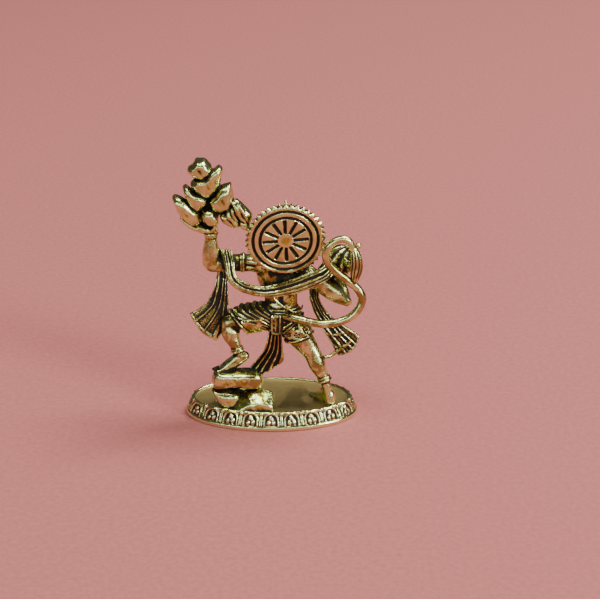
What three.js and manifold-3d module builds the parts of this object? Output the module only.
// Striding Hanuman lifting the herb mountain: a small brass figure cast in one piece with its
// oval lotus plinth. Millimetres, +Z up, +Y the way the figure faces, +X its right hand, and
// the origin at the centre of the plinth's underside.

import * as THREE from "three";
import { mergeVertices } from "three/addons/utils/BufferGeometryUtils.js";
import Module from "manifold-3d";

// Driving dimensions, in millimetres.
const FIGURE_HEIGHT = 41.3; // from the plate to the top of the highest boulder
const PLINTH_LENGTH = 28.4;
const PLINTH_WIDTH = 15.2;
const PLINTH_HEIGHT = 2.9;
const PLINTH_FOOT = 0.85; // plain band under the petals
const PLINTH_LEAN = 1.15; // how far the petal band leans in over its height
const PLATE_RIM = 0.4; // raised edge round the plate
const PLATE_SINK = 0.3; // the plate's depth below that edge
const PETAL_COUNT = 20;
const PETAL_GAP = 0.3; // between two petals
const PETAL_RELIEF = 0.25;
const HALO_DIAMETER = 13.0;
const HALO_THICKNESS = 1.1;
const HALO_TEETH = 40;
const HALO_TOOTH = 0.6;
const HALO_SPOKES = 12;
const WHEEL_RIM_RADIUS = 5.15; // outer engraved ring
const WHEEL_TYRE_RADIUS = 4.05; // inner engraved ring
const WHEEL_HUB_RADIUS = 1.2;
const SPOKE_WIDTH = 0.42; // at the hub
const GROOVE_WIDTH = 0.34;
const GROOVE_DEPTH = 0.25;
const TAIL_THICKNESS = 1.35;
const CLOTH_THICKNESS = 0.55;
const PLEAT_DEPTH = 0.22;

// The figure is drawn in modules: its height holds this many, so a module is 1 mm at the real size.
const MODULE_COUNT = 41.3;
const MODULE = FIGURE_HEIGHT / MODULE_COUNT;
const SOLE_RISE = 0.34; // the drawing's zero line above the plate, where the soles are
const PLATE_Z = PLINTH_HEIGHT - PLATE_SINK;

const BACKWARD = new THREE.Vector3(0, -1, 0);
const UPWARD = new THREE.Vector3(0, 0, 1);

const wasm = await Module();
wasm.setup();

// A point of the figure, from its drawing in modules.
const place = (x, y, z) =>
  new THREE.Vector3(x, y, z).multiplyScalar(MODULE).add(new THREE.Vector3(0, 0, PLATE_Z + SOLE_RISE));

// Catmull-Rom curve through rows of numbers, t from 0 at the first row to 1 at the last.
function through(rows, t) {
  const last = rows.length - 1;
  const i = Math.min(Math.floor(t * last), last - 1);
  const f = t * last - i;
  const before = rows[i - 1] ?? rows[0].map((v, k) => 2 * v - rows[1][k]);
  const after = rows[i + 2] ?? rows[last].map((v, k) => 2 * v - rows[last - 1][k]);
  return rows[i].map((b, k) => {
    const [a, c, d] = [before[k], rows[i + 1][k], after[k]];
    const cubic = 3 * (b - c) + d - a;
    return b + 0.5 * f * (c - a + f * (2 * a - 5 * b + 4 * c - d + f * cubic));
  });
}

// A closed solid from a mesh whose corners are already shared.
const solidFrom = (positions, faces) =>
  new wasm.Manifold(
    new wasm.Mesh({
      numProp: 3,
      vertProperties: new Float32Array(positions),
      triVerts: new Uint32Array(faces),
    }),
  );

// A closed solid from a three.js geometry.
function solidOf(geometry, matrix = new THREE.Matrix4()) {
  const bare = geometry.index ? geometry.toNonIndexed() : geometry.clone();
  bare.deleteAttribute("normal");
  bare.deleteAttribute("uv");
  const shared = mergeVertices(bare.applyMatrix4(matrix), 1e-4);
  return solidFrom(shared.attributes.position.array, shared.index.array);
}

// The skin over rings of points that run anticlockwise about the way they advance, closed by a
// fan at each end that meets at a tip or, where none is given, at the ring's own middle.
function skin(rings, tips = []) {
  const around = rings[0].length;
  const corner = (i, j) => i * around + (j % around);
  const points = rings.flat();
  const faces = [];
  for (let i = 0; i + 1 < rings.length; i++)
    for (let j = 0; j < around; j++) {
      faces.push(corner(i, j), corner(i, j + 1), corner(i + 1, j));
      faces.push(corner(i, j + 1), corner(i + 1, j + 1), corner(i + 1, j));
    }
  for (const end of [0, rings.length - 1]) {
    const middle = new THREE.Vector3();
    rings[end].forEach((p) => middle.addScaledVector(p, 1 / around));
    points.push(tips[end ? 1 : 0] ?? middle);
    for (let j = 0; j < around; j++) {
      const edge = [corner(end, j), corner(end, j + 1)];
      faces.push(points.length - 1, ...(end ? edge : edge.reverse()));
    }
  }
  return solidFrom(points.flatMap((p) => [p.x, p.y, p.z]), faces);
}

// A rounded member along stations [x, y, z, half width, half depth] in modules. Depth is measured
// along facing, swell scales the section at an angle and a station, and each end has a dome whose
// height is its share of the radius, or none.
function limb(rows, options = {}) {
  const { facing = BACKWARD, steps = rows.length - 1, sides = 8, ends = [0, 0] } = options;
  const { swell = () => 1 } = options;
  const section = (t) => {
    const [x, y, z, width, depth] = through(rows, t);
    const near = place(...through(rows, Math.max(0, t - 0.02)));
    const far = place(...through(rows, Math.min(1, t + 0.02)));
    const along = far.sub(near).normalize();
    const across = new THREE.Vector3().crossVectors(facing, along).normalize();
    const up = new THREE.Vector3().crossVectors(along, across);
    return { middle: place(x, y, z), along, across, up, width, depth };
  };
  const reach = ({ width, depth }, share) => Math.min(width, depth) * MODULE * share;
  const ring = (t, share, shrink) => {
    const { middle, along, across, up, width, depth } = section(t);
    middle.addScaledVector(along, reach({ width, depth }, share));
    return Array.from({ length: sides }, (_, j) => {
      const angle = (2 * Math.PI * j) / sides;
      const size = MODULE * shrink * swell(angle, t);
      return middle
        .clone()
        .addScaledVector(across, width * size * Math.cos(angle))
        .addScaledVector(up, depth * size * Math.sin(angle));
    });
  };
  const rings = Array.from({ length: steps + 1 }, (_, i) => ring(i / steps, 0, 1));
  const tips = [0, 1].map((t) => {
    if (!ends[t]) return undefined;
    const out = t ? ends[1] : -ends[0];
    const dome = ring(t, out * Math.SQRT1_2, Math.SQRT1_2);
    if (t) rings.push(dome);
    else rings.unshift(dome);
    const { middle, along, ...size } = section(t);
    return middle.addScaledVector(along, reach(size, out));
  });
  return skin(rings, tips);
}

// An egg of three half sizes round a centre, in modules.
function egg([x, y, z], [a, b, c], { sides = 6, belts = 3 } = {}) {
  const rings = Array.from({ length: belts }, (_, i) => {
    const rise = (Math.PI * (i + 1)) / (belts + 1) - Math.PI / 2;
    return Array.from({ length: sides }, (_, j) => {
      const angle = (2 * Math.PI * j) / sides;
      const size = Math.cos(rise);
      return place(
        x + a * size * Math.cos(angle),
        y + b * size * Math.sin(angle),
        z + c * Math.sin(rise),
      );
    });
  });
  return skin(rings, [place(x, y, z - c), place(x, y, z + c)]);
}

// Pleated cloth between two edges, stations [left x, y, z, right x, y, z] in modules. The folds
// stand out from the sheet by a share of PLEAT_DEPTH, and the hem bellies out by hem modules.
function drape(rows, { folds = 4, steps = 10, hem = [0, 0], deep = 1 } = {}) {
  const columns = 2 * folds;
  const sheet = (t, v) => {
    const [a, b, c, d, e, f] = through(rows, t);
    return place(a, b, c).lerp(place(d, e, f), v);
  };
  const rings = [];
  for (let i = 0; i <= steps; i++) {
    const t = i / steps;
    const near = sheet(Math.max(0, t - 0.01), 0.5);
    const along = sheet(Math.min(1, t + 0.01), 0.5).sub(near).normalize();
    const across = sheet(t, 1).sub(sheet(t, 0)).normalize();
    const up = new THREE.Vector3().crossVectors(along, across).normalize();
    const belly = hem[1] * Math.max(0, 4 * t - 3) - hem[0] * Math.max(0, 1 - 4 * t);
    const column = (k, side) => {
      const v = k / columns;
      const fold = (k % 2 ? -1 : 1) * PLEAT_DEPTH * deep;
      return sheet(t, v)
        .addScaledVector(along, belly * MODULE * 4 * v * (1 - v))
        .addScaledVector(up, fold + (side * CLOTH_THICKNESS) / 2);
    };
    const there = Array.from({ length: columns + 1 }, (_, k) => column(k, -1));
    const back = Array.from({ length: columns + 1 }, (_, k) => column(columns - k, 1));
    rings.push([...there, ...back]);
  }
  return skin(rings);
}

// A repeatable number from 0 to 1 for each pair of whole numbers.
const chance = (i, j) => {
  const s = Math.sin(i * 12.9898 + j * 78.233) * 43758.5453;
  return s - Math.floor(s);
};

// A facetted boulder from its blunt end to its sharp end, in modules.
function boulder(blunt, sharp, width, depth, kind) {
  const profile = [0.65, 1, 0.95, 0.3];
  const rows = profile.map((size, i) => [
    ...blunt.map((v, k) => v + ((sharp[k] - v) * i) / (profile.length - 1)),
    width * size,
    depth * size,
  ]);
  const swell = (angle) => 0.86 + 0.28 * chance(Math.round(angle * 10), kind);
  return limb(rows, { sides: 6, swell });
}

// A boulder as it is seen from behind: its outline [x, z] in modules, clockwise, in the plane at y.
// It reaches depth modules both ways, and the profile holds [share of the depth, size] pairs. The
// face behind lies lean modules lower than its middle.
const ROUNDED = [[-1, 0.58], [-0.6, 0.92], [0.4, 1], [1, 0.5]];
const BLOCKY = [[-1, 0.92], [-0.7, 1], [0.6, 1], [1, 0.8]];

function pebble(outline, y, depth, profile = ROUNDED, lean = 0) {
  const [middleX, middleZ] = [0, 1].map(
    (k) => outline.reduce((sum, point) => sum + point[k], 0) / outline.length,
  );
  const rings = profile.map(([share, size]) =>
    outline.map(([x, z]) =>
      place(
        middleX + (x - middleX) * size,
        y + share * depth,
        middleZ + (z - middleZ) * size + lean * share,
      ),
    ),
  );
  return skin(rings);
}

// The plinth: an oval with a plain foot, a leaning band of petals and a sunk plate. Its columns
// stand at even steps along the oval, two to a petal.
const BAND_INSET = 0.3; // the petal band stands this far in from the foot
const FOOT_BEVEL = 0.15;
const COLUMNS = 2 * PETAL_COUNT;

// The oval's angle at each share of its girth, found on a fine polygon.
function girthAngles() {
  const fine = 3600;
  const [rx, ry] = [PLINTH_LENGTH / 2, PLINTH_WIDTH / 2];
  const reach = [0];
  for (let i = 0; i < fine; i++) {
    const a = (2 * Math.PI * (i + 0.5)) / fine;
    reach.push(reach[i] + Math.hypot(rx * Math.sin(a), ry * Math.cos(a)));
  }
  return (share) => {
    const i = reach.findIndex((r) => r >= share * reach[fine]);
    return (2 * Math.PI * i) / fine;
  };
}

// A petal's outline as an arch, in shares of its cell of the band.
function arch(width, foot, top, points) {
  const spring = foot + 0.45 * (top - foot);
  const curve = Array.from({ length: points + 1 }, (_, i) => {
    const a = (Math.PI * i) / points;
    const height = spring + (top - spring) * Math.sin(a);
    return new THREE.Vector2(0.5 + (width / 2) * Math.cos(a), height);
  });
  const [right, left] = [0.5 + width * 0.42, 0.5 - width * 0.42];
  return [new THREE.Vector2(right, foot), ...curve, new THREE.Vector2(left, foot)];
}

function plinth() {
  const angleAt = girthAngles();
  const at = (share, inset, z) => {
    const a = angleAt(share);
    const [rx, ry] = [PLINTH_LENGTH / 2 - inset, PLINTH_WIDTH / 2 - inset];
    return new THREE.Vector3(rx * Math.cos(a), ry * Math.sin(a), z);
  };
  const ring = ([inset, z]) => Array.from({ length: COLUMNS }, (_, i) => at(i / COLUMNS, inset, z));
  const corners = [];
  const quad = (a, b, c, d) => corners.push(a, b, c, a, c, d);
  const strip = (low, high) =>
    low.forEach((p, i) => quad(p, low[(i + 1) % COLUMNS], high[(i + 1) % COLUMNS], high[i]));
  const fan = (edge, z, up) =>
    edge.forEach((p, i) => {
      const pair = [p, edge[(i + 1) % COLUMNS]];
      corners.push(new THREE.Vector3(0, 0, z), ...(up ? pair : pair.reverse()));
    });
  const foot = [[0, 0], [0, PLINTH_FOOT - FOOT_BEVEL], [BAND_INSET, PLINTH_FOOT]].map(ring);
  const rim = PLINTH_LEAN + PLATE_RIM;
  const top = [[PLINTH_LEAN, PLINTH_HEIGHT], [rim, PLINTH_HEIGHT], [rim, PLATE_Z]].map(ring);
  for (const part of [foot, top]) for (let i = 0; i < 2; i++) strip(part[i], part[i + 1]);
  fan(foot[0], 0, false);
  fan(top[2], PLATE_Z, true);

  // One cell of the band after another: the ground, a leaf on it and a raised bud on the leaf.
  const lean = PLINTH_LEAN - BAND_INSET;
  const rise = PLINTH_HEIGHT - PLINTH_FOOT;
  const slant = Math.hypot(lean, rise);
  const girth = Math.PI * (PLINTH_LENGTH + PLINTH_WIDTH) * 0.5;
  const leafWidth = 1 - (PETAL_GAP * PETAL_COUNT) / girth;
  const leaf = arch(leafWidth, 0.04, 0.95, 4);
  const bud = arch(leafWidth * 0.58, 0.04 + 0.06, 0.68, 2);
  const cell = [[0, 0], [0.5, 0], [1, 0], [1, 1], [0.5, 1], [0, 1]];
  const ground = cell.map(([u, v]) => new THREE.Vector2(u, v));
  const onBand = (n, { x, y }, proud) =>
    at(
      ((n + x + 0.5) / PETAL_COUNT) % 1,
      BAND_INSET + lean * y - (proud * rise) / slant,
      PLINTH_FOOT + rise * y + (proud * lean) / slant,
    );
  const flat = (n, outline, holes, proud) => {
    const points = [outline, ...holes].flat();
    for (const [a, b, c] of THREE.ShapeUtils.triangulateShape(outline, holes)) {
      const turn = THREE.ShapeUtils.area([points[a], points[b], points[c]]);
      const face = turn > 0 ? [a, b, c] : [a, c, b];
      corners.push(...face.map((i) => onBand(n, points[i], proud)));
    }
  };
  const wall = (n, outline, low, high) =>
    outline.forEach((p, i) => {
      const q = outline[(i + 1) % outline.length];
      quad(onBand(n, p, low), onBand(n, q, low), onBand(n, q, high), onBand(n, p, high));
    });
  for (let n = 0; n < PETAL_COUNT; n++) {
    flat(n, ground, [leaf], 0);
    wall(n, leaf, 0, PETAL_RELIEF / 2);
    flat(n, leaf, [bud], PETAL_RELIEF / 2);
    wall(n, bud, PETAL_RELIEF / 2, PETAL_RELIEF);
    flat(n, bud, [], PETAL_RELIEF);
  }
  return solidOf(new THREE.BufferGeometry().setFromPoints(corners));
}

// The halo behind the head, with a toothed edge and a spoked wheel cut into its back face.
const HALO_CENTRE = [2.45, -2.6, 28.4];
const HALO_TILT = THREE.MathUtils.degToRad(7);
const HALO_TURN = THREE.MathUtils.degToRad(5);

function halo() {
  const radius = HALO_DIAMETER / 2;
  const circle = (inner, outer, z) =>
    Array.from({ length: 2 * HALO_TEETH }, (_, j) => {
      const a = (Math.PI * j) / HALO_TEETH;
      const r = j % 2 ? inner : outer;
      return new THREE.Vector3(r * Math.cos(a), r * Math.sin(a), z);
    });
  const valley = radius - HALO_TOOTH;
  const disc = skin([
    circle(valley - 0.1, valley - 0.1, -HALO_THICKNESS),
    circle(valley, radius, -HALO_THICKNESS / 2),
    circle(valley - 0.05, valley - 0.05, 0),
  ]);
  const groove = (r) => {
    const section = [[0, -1], [1, 1], [-1, 1], [0, -1]];
    const profile = section.map(
      ([out, up]) => new THREE.Vector2(r + out * GROOVE_WIDTH, up * GROOVE_DEPTH),
    );
    const upright = new THREE.Matrix4().makeRotationX(Math.PI / 2);
    return solidOf(new THREE.LatheGeometry(profile, 30), upright);
  };
  const reach = WHEEL_TYRE_RADIUS - GROOVE_WIDTH * 1.4;
  const slot = (z, half) => [
    new THREE.Vector3(WHEEL_HUB_RADIUS, -half, z),
    new THREE.Vector3(reach, -half * 1.2, z),
    new THREE.Vector3(reach, half * 1.2, z),
    new THREE.Vector3(WHEEL_HUB_RADIUS, half, z),
  ];
  const spoke = skin([slot(-GROOVE_DEPTH, SPOKE_WIDTH / 2), slot(GROOVE_DEPTH, SPOKE_WIDTH / 2)]);
  const cuts = [groove(WHEEL_RIM_RADIUS), groove(WHEEL_TYRE_RADIUS)];
  for (let n = 0; n < HALO_SPOKES; n++) {
    const turn = (2 * Math.PI * (n + 0.1)) / HALO_SPOKES;
    cuts.push(spoke.transform(new THREE.Matrix4().makeRotationZ(turn).elements));
  }
  const peak = new THREE.ConeGeometry(0.5, 0.6, 4).translate(0, radius - 0.1, -HALO_THICKNESS / 2);
  const carved = disc.add(solidOf(peak)).subtract(wasm.Manifold.union(cuts));
  const aim = new THREE.Euler(Math.PI / 2 + HALO_TILT, 0, HALO_TURN, "ZXY");
  const turn = new THREE.Quaternion().setFromEuler(aim);
  const frame = new THREE.Matrix4().compose(place(...HALO_CENTRE), turn, new THREE.Vector3(1, 1, 1));
  return carved.transform(frame.elements);
}

// Trunk and neck, with the belt's roll round the waist.
function trunk() {
  const rows = [
    [1.45, 0.0, 14.4, 2.5, 1.9],
    [1.5, 0.0, 15.4, 3.0, 2.2],
    [1.6, 0.0, 16.1, 3.1, 2.2],
    [1.65, 0.1, 16.5, 2.7, 1.75],
    [1.6, 0.3, 18.6, 2.9, 1.8],
    [1.5, 0.4, 20.8, 3.9, 2.0],
    [1.6, 0.3, 22.4, 3.8, 1.8],
    [2.0, 0.3, 24.0, 1.8, 1.4],
  ];
  const neck = [[2.1, 0.3, 23.0, 1.3, 1.3], [2.4, 0.6, 26.5, 1.3, 1.3]];
  return [limb(rows, { sides: 10 }), limb(neck, { sides: 6 })];
}

const FACE = [2.4, 0.9, 27.6];

function head() {
  const [x, y, z] = FACE;
  const side = (s) => [
    egg([x + s * 2.05, y + 0.1, z + 0.2], [0.35, 0.6, 0.75], { sides: 5, belts: 2 }),
    egg([x + s * 1.95, y + 0.2, z - 0.85], [0.42, 0.42, 0.45], { sides: 4, belts: 2 }),
    egg([x + s * 0.75, y + 1.75, z + 0.55], [0.42, 0.4, 0.3], { sides: 4, belts: 2 }),
  ];
  const brow = [
    [x - 1.5, y + 1.5, z + 1.05, 0.3, 0.3],
    [x, y + 2.0, z + 1.15, 0.35, 0.35],
    [x + 1.5, y + 1.5, z + 1.05, 0.3, 0.3],
  ];
  return [
    egg([x, y, z], [2.0, 2.1, 2.3], { sides: 8, belts: 4 }),
    egg([x, y + 1.65, z - 0.75], [1.35, 1.15, 0.9]),
    egg([x, y + 2.65, z - 0.3], [0.5, 0.35, 0.3], { sides: 4, belts: 2 }),
    limb(brow, { facing: UPWARD, sides: 5 }),
    egg([x, y - 2.0, z + 0.2], [1.9, 1.0, 2.4], { belts: 2 }),
    ...side(1),
    ...side(-1),
  ];
}

// The crown: a browband, two domed tiers and a finial, with three upright jewels in front.
function crown() {
  const [x, y, z] = FACE;
  const tiers = [
    [0.9, 2.0], [1.5, 2.4], [2.2, 2.05], [2.9, 1.8], [3.2, 1.9], [3.5, 1.5], [4.4, 1.2],
    [4.7, 0.7], [6.0, 0.15],
  ];
  const rows = tiers.map(([up, radius]) => [x, y, z + up, radius, radius]);
  const jewels = [1, 2, 3].map((n) => {
    const a = (Math.PI * n) / 4;
    return egg([x + 2.0 * Math.cos(a), y + 2.0 * Math.sin(a), z + 2.1], [0.5, 0.5, 0.75], {
      sides: 4,
    });
  });
  return [limb(rows), ...jewels];
}

// Arms, hands and their rings. The left palm lifts the mountain and the right hand holds the mace.
function arms() {
  const fingers = [0, 1, 2, 3].map((n) => {
    const y = -0.35 + 0.75 * n;
    const rows = [
      [-10.7, y, 29.1, 0.36, 0.32],
      [-12.6, y, 29.9, 0.33, 0.3],
      [-14.1, y, 31.2, 0.22, 0.22],
    ];
    return limb(rows, { sides: 4 });
  });
  const leftUpper = [
    [-0.6, 0.3, 22.9, 1.5, 1.4],
    [-2.2, 0.3, 23.4, 1.5, 1.35],
    [-4.4, 0.4, 23.5, 1.5, 1.2],
    [-6.2, 0.45, 23.4, 1.5, 1.2],
    [-7.8, 0.5, 23.2, 1.4, 1.15],
    [-9.5, 0.5, 23.1, 1.25, 1.1],
  ];
  const leftLower = [
    [-9.55, 0.5, 23.3, 1.4, 1.15],
    [-9.5, 0.6, 24.6, 1.5, 1.25],
    [-9.48, 0.7, 26.4, 1.28, 1.1],
    [-9.48, 0.8, 28.0, 1.0, 0.95],
    [-9.48, 0.8, 28.4, 1.2, 1.15],
    [-9.48, 0.8, 29.1, 0.95, 0.95],
  ];
  const palm = [
    [-9.0, 0.8, 29.0, 0.7, 1.1],
    [-10.2, 0.8, 29.25, 0.62, 1.45],
    [-11.4, 0.8, 29.8, 0.5, 1.4],
  ];
  const thumb = [
    [-9.2, -0.2, 29.2, 0.38, 0.38],
    [-8.7, -0.7, 30.0, 0.34, 0.34],
    [-8.7, -0.8, 30.9, 0.25, 0.25],
  ];
  const rightUpper = [
    [3.6, 0.3, 22.6, 1.5, 1.4],
    [5.4, 0.2, 22.2, 1.4, 1.3],
    [8.3, -0.1, 19.8, 1.45, 1.1],
    [10.6, -0.4, 18.2, 1.4, 1.05],
    [12.2, -0.5, 17.0, 0.85, 0.8],
  ];
  const rightLower = [
    [12.1, -0.2, 17.3, 0.8, 0.8],
    [11.5, 0.4, 18.7, 1.0, 0.95],
    [10.5, 1.2, 20.1, 0.85, 0.8],
    [9.5, 1.8, 21.0, 0.85, 0.7],
  ];
  return [
    limb(leftUpper, { ends: [0, 1] }),
    limb(leftLower),
    limb(palm, { sides: 6 }),
    ...fingers,
    limb(thumb, { sides: 5 }),
    limb(rightUpper, { ends: [0, 1] }),
    limb(rightLower),
    egg([9.3, 2.2, 21.3], [1.0, 0.85, 0.95]),
  ];
}

// The mace, over the right shoulder: shaft, fluted head and knob.
function mace() {
  const flutes = (angle) => 1 + 0.1 * Math.cos(6 * angle);
  const globe = [
    [9.6, 1.5, 21.5, 0.9, 0.9],
    [10.1, 1.3, 22.3, 1.95, 1.95],
    [11.1, 1.0, 23.6, 2.5, 2.5],
    [12.1, 0.8, 25.0, 1.8, 1.8],
    [12.6, 0.7, 25.7, 0.7, 0.7],
  ];
  return [
    limb([[7.2, 2.4, 19.0, 0.42, 0.42], [11.0, 1.2, 23.6, 0.42, 0.42]], { sides: 6 }),
    limb(globe, { sides: 12, swell: flutes }),
    limb([[12.4, 0.7, 25.2, 0.5, 0.5], [13.8, 0.5, 26.2, 0.3, 0.3]], { sides: 6 }),
    egg([14.0, 0.4, 26.4], [0.55, 0.55, 0.55]),
  ];
}

// Bare legs and feet, with anklets.
function legs() {
  const knee = [
    [-4.3, -0.4, 14.0, 1.8, 1.7],
    [-6.7, -0.5, 13.4, 1.5, 1.45],
  ];
  const leftShin = [
    [-6.8, -0.5, 13.4, 1.45, 1.4],
    [-6.5, -1.1, 11.6, 1.5, 1.45],
    [-5.9, -1.7, 10.2, 1.05, 1.0],
    [-5.6, -1.9, 9.4, 0.85, 0.85],
    [-5.5, -1.95, 9.1, 1.15, 1.15],
    [-5.3, -2.0, 8.6, 0.85, 0.85],
    [-5.2, -2.0, 8.2, 0.75, 0.8],
  ];
  const leftFoot = [
    [-4.3, -2.0, 8.1, 0.85, 0.85],
    [-5.6, -2.1, 7.4, 1.0, 1.15],
    [-7.1, -2.3, 6.5, 1.05, 1.0],
    [-8.6, -2.55, 5.8, 1.0, 0.6],
  ];
  const rightShin = [
    [4.0, -0.8, 12.0, 2.2, 1.8],
    [5.2, -1.1, 10.4, 1.9, 1.6],
    [6.6, -1.5, 8.5, 1.45, 1.35],
    [7.5, -2.0, 6.6, 1.4, 1.35],
    [8.5, -2.5, 4.5, 0.9, 0.9],
    [8.7, -2.6, 4.0, 1.25, 1.2],
    [8.9, -2.75, 3.5, 0.85, 0.9],
    [9.4, -3.0, 1.6, 0.75, 0.8],
  ];
  const rightFoot = [
    [9.8, -3.3, 0.4, 0.9, 0.95],
    [9.3, -2.6, 1.1, 1.1, 1.7],
    [8.6, -1.6, 0.9, 1.2, 1.6],
    [8.0, -0.6, 0.4, 1.15, 1.0],
    [7.6, 0.2, 0.0, 1.0, 0.55],
  ];
  return [
    limb(knee, { facing: UPWARD, ends: [0, 1] }),
    limb(leftShin),
    limb(leftFoot, { facing: UPWARD, ends: [1, 1] }),
    limb(rightShin),
    limb(rightFoot, { facing: UPWARD, ends: [0.6, 1] }),
  ];
}

// The loincloth: a gathered sleeve with a rolled hem on each thigh, and a tab with a long sash.
function loincloth() {
  const gathers = (count, depth) => (angle, t) =>
    1 + depth * Math.cos(2 * Math.PI * count * (t + 0.12 * Math.sin(angle))) + (t > 0.95 ? 0.08 : 0);
  const left = [
    [2.2, 0.0, 14.1, 2.5, 2.4],
    [0.0, 0.0, 14.3, 2.5, 2.45],
    [-2.4, -0.2, 14.3, 2.5, 2.45],
    [-4.4, -0.4, 14.0, 2.45, 2.4],
    [-5.2, -0.5, 13.5, 2.5, 2.35],
  ];
  const right = [
    [1.6, 0.0, 15.0, 2.6, 2.3],
    [3.1, -0.3, 13.2, 2.6, 2.4],
    [4.2, -0.7, 11.9, 2.45, 2.35],
    [4.6, -0.85, 10.9, 2.4, 2.3],
  ];
  const tab = [
    [-0.05, -2.5, 15.6, 1.75, -2.5, 15.6],
    [0.0, -2.85, 12.5, 1.65, -2.85, 12.5],
  ];
  const sash = [
    [-0.3, -2.55, 13.1, 1.75, -2.55, 13.1],
    [-0.9, -2.5, 10.2, 1.9, -2.6, 10.3],
    [-1.8, -2.0, 8.2, 2.1, -2.8, 9.1],
    [-3.5, -1.7, 6.0, 2.2, -2.9, 7.9],
  ];
  return [
    limb(left, { steps: 10, sides: 9, swell: gathers(4.6, 0.05) }),
    limb(right, { steps: 6, sides: 9, swell: gathers(2.6, 0.04) }),
    drape(tab, { folds: 1, steps: 1, deep: 0.5 }),
    drape(sash, { folds: 3, steps: 5, hem: [0, 2.2], deep: 1.2 }),
  ];
}

// The long shawl: a pleated end at each side, joined by a swag across the back.
function shawl() {
  const edges = [
    [-13.2, -0.3, 14.9, -8.7, -0.5, 10.0],
    [-11.7, 0.1, 15.6, -7.1, 0.0, 13.7],
    [-10.2, 0.5, 17.0, -6.8, 0.4, 16.4],
    [-9.1, 1.0, 19.3, -6.9, 0.9, 19.0],
    [-8.6, 1.6, 22.0, -6.7, 1.5, 22.0],
    [-8.1, 0.6, 25.3, -6.3, 0.5, 25.3],
    [-7.4, -0.9, 23.7, -5.8, -0.9, 24.2],
    [-6.8, -1.7, 21.3, -5.4, -1.7, 22.2],
    [-5.2, -2.1, 19.8, -4.1, -2.1, 21.1],
    [-2.8, -2.3, 19.0, -2.3, -2.2, 20.6],
    [-0.1, -2.4, 18.7, -0.1, -2.3, 20.7],
    [3.1, -2.4, 19.1, 3.1, -2.3, 21.7],
    [6.1, -2.0, 19.9, 5.9, -2.0, 22.8],
    [9.3, -1.6, 21.5, 8.2, -1.6, 23.6],
    [9.7, 0.2, 22.2, 8.5, 0.2, 24.0],
    [8.9, 1.7, 19.8, 7.1, 1.7, 21.2],
    [7.8, 1.7, 17.3, 6.1, 1.7, 18.0],
    [8.8, 1.5, 14.8, 6.5, 1.6, 15.6],
    [10.2, 1.2, 13.4, 7.3, 1.4, 13.4],
    [12.0, 0.8, 12.2, 8.6, 1.0, 11.1],
    [14.5, 0.4, 10.6, 10.9, 0.4, 7.0],
  ];
  return drape(edges, { folds: 3, steps: 25, hem: [0.8, 1.0] });
}

// The tail: out from the belt, up round a loop and down to a ribbed tuft.
function tail() {
  const path = [
    [1.9, -1.9, 15.2], [4.4, -3.0, 15.15], [7.6, -3.6, 14.6], [10.75, -3.7, 14.9],
    [13.3, -3.4, 16.1], [14.6, -3.0, 18.4], [13.8, -2.8, 20.4], [12.0, -2.8, 21.9],
    [10.0, -2.9, 23.7], [8.85, -3.0, 25.5], [9.1, -3.0, 27.4], [10.6, -2.8, 28.7],
    [12.2, -2.6, 28.5], [13.15, -2.6, 27.0],
  ];
  const half = TAIL_THICKNESS / 2 / MODULE;
  const rows = path.map((p, i) => [...p, i < 11 ? half : half * 0.85, i < 11 ? half : half * 0.85]);
  const tuft = [
    [13.2, -2.6, 27.3, 0.45, 0.45],
    [13.45, -2.7, 26.2, 0.8, 0.8],
    [13.65, -2.8, 24.6, 0.98, 0.98],
    [13.55, -2.85, 23.0, 0.85, 0.85],
    [13.3, -2.9, 21.2, 0.35, 0.35],
  ];
  const ribs = (angle) => 1 + 0.1 * Math.cos(5 * angle);
  return [limb(rows, { steps: 28, sides: 6 }), limb(tuft, { sides: 10, swell: ribs })];
}

// The mountain of boulders on the palm, and the slabs under the left foot.
const BOULDERS = [
  [0.8, 1.7, [
    [-13.0, 39.1], [-12.0, 40.1], [-11.6, 40.9], [-10.1, 40.8], [-9.0, 39.6], [-9.1, 38.5],
    [-10.4, 37.0], [-12.4, 38.2],
  ]],
  [0.3, 1.8, [
    [-12.7, 37.0], [-11.9, 37.6], [-10.0, 37.9], [-8.0, 40.1], [-7.3, 39.5], [-8.1, 36.1],
    [-9.6, 34.6], [-11.0, 34.9],
  ]],
  [-0.3, 1.5, [
    [-13.8, 36.4], [-13.2, 37.1], [-11.9, 35.5], [-10.2, 35.0], [-9.8, 34.0], [-11.4, 32.5],
    [-12.8, 33.6],
  ]],
  [0.0, 1.8, [
    [-9.7, 34.4], [-8.6, 35.4], [-7.8, 36.6], [-6.1, 37.2], [-5.7, 34.6], [-6.2, 33.2],
    [-7.6, 32.5], [-9.1, 32.7],
  ]],
  [-0.5, 1.5, [
    [-15.4, 34.8], [-15.0, 35.4], [-13.9, 35.1], [-11.2, 32.5], [-10.9, 30.8], [-11.6, 30.2],
    [-12.8, 30.6], [-14.4, 32.2],
  ]],
  [-1.2, 1.0, [[-10.8, 32.4], [-10.0, 33.0], [-9.0, 32.9], [-8.0, 30.9], [-8.6, 30.3], [-10.0, 30.6]]],
  [-0.2, 1.4, [[-8.1, 31.9], [-5.8, 33.8], [-5.2, 32.4], [-4.5, 30.1], [-5.6, 29.8], [-7.4, 30.6]]],
  [-0.6, 1.2, [[-6.2, 34.4], [-5.1, 34.7], [-2.7, 32.1], [-3.2, 30.5], [-4.6, 30.9], [-5.6, 32.3]]],
  [-1.0, 0.8, [[-4.8, 31.3], [-3.5, 31.1], [-3.1, 30.1], [-3.7, 29.6], [-4.7, 30.2]]],
];

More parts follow.
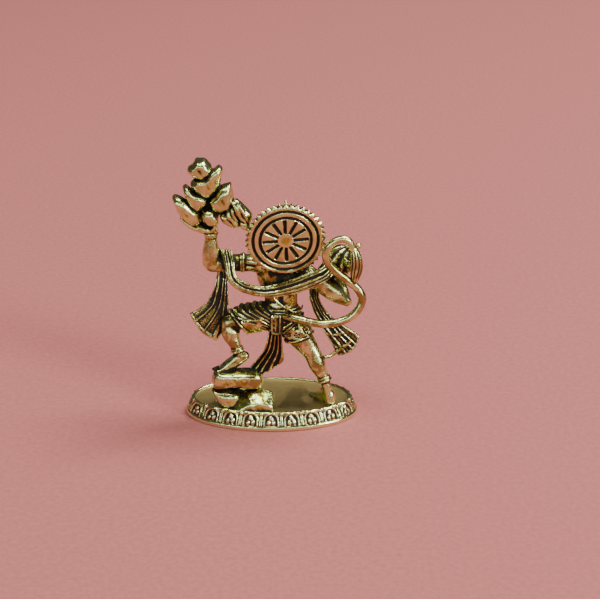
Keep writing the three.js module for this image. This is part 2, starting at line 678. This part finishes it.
function rocks() {
  const core = [
    [[-9.8, 2.2, 33.6], [-12.4, 2.6, 35.8], 1.7, 1.5],
    [[-9.4, 2.2, 32.0], [-6.2, 2.5, 33.6], 1.8, 1.5],
    [[-10.2, 2.0, 30.8], [-13.6, 2.7, 32.6], 1.5, 1.3],
    [[-10.0, 1.4, 29.2], [-9.6, 1.2, 37.5], 1.9, 1.6],
    [[-8.4, -1.6, 1.5], [-1.8, -1.7, 1.5], 2.2, 1.5],
  ];
  const slab = [
    [-9.6, 4.9], [-9.0, 5.8], [-2.1, 5.8], [-1.3, 4.8], [-1.5, 3.3], [-3.4, 3.1], [-5.4, 3.6],
    [-7.3, 3.5], [-9.4, 2.9],
  ];
  const block = [[-9.7, 2.8], [-7.4, 2.8], [-5.2, 2.2], [-5.4, 0.0], [-7.0, -0.6], [-8.9, 0.9]];
  const leaf = [
    [-7.0, -0.2], [-5.4, 0.9], [-3.0, 2.2], [0.1, 1.9], [0.6, 1.2], [0.2, -0.5], [-2.5, -0.8],
    [-5.6, -0.9],
  ];
  return [
    ...BOULDERS.map(([y, depth, outline]) => pebble(outline, y, depth)),
    ...core.map(([blunt, sharp, width, depth], i) => boulder(blunt, sharp, width, depth, i)),
    pebble(slab, -3.0, 1.85, BLOCKY),
    pebble(block, -3.6, 1.3, ROUNDED, 0.3),
    pebble(leaf, -4.6, 1.3, BLOCKY, 0.9),
  ];
}

// Small struts that the caster left between the shawl and the leg, and from the mace to the tail.
const struts = () => [
  limb([[7.8, -1.7, 7.4, 0.45, 0.45], [11.2, 0.3, 8.2, 0.4, 0.4]], { sides: 5 }),
  limb([[12.6, -2.6, 24.4, 0.5, 0.5], [11.2, 0.2, 24.2, 0.5, 0.5]], { facing: UPWARD, sides: 5 }),
];

const casting = wasm.Manifold.union([
  plinth(),
  halo(),
  ...trunk(),
  ...head(),
  ...crown(),
  ...arms(),
  ...mace(),
  ...legs(),
  ...loincloth(),
  shawl(),
  ...tail(),
  ...rocks(),
  ...struts(),
]);

const { vertProperties, triVerts } = casting.getMesh();
const geometry = new THREE.BufferGeometry()
  .setAttribute("position", new THREE.BufferAttribute(vertProperties, 3))
  .setIndex(new THREE.BufferAttribute(triVerts, 1));
geometry.computeVertexNormals();

const brass = new THREE.MeshStandardMaterial({ color: 0xc9963f, roughness: 0.3, metalness: 1 });
const figure = new THREE.Mesh(geometry, brass);
figure.name = "hanuman_casting";

const group = new THREE.Group();
group.add(figure);
export default group;
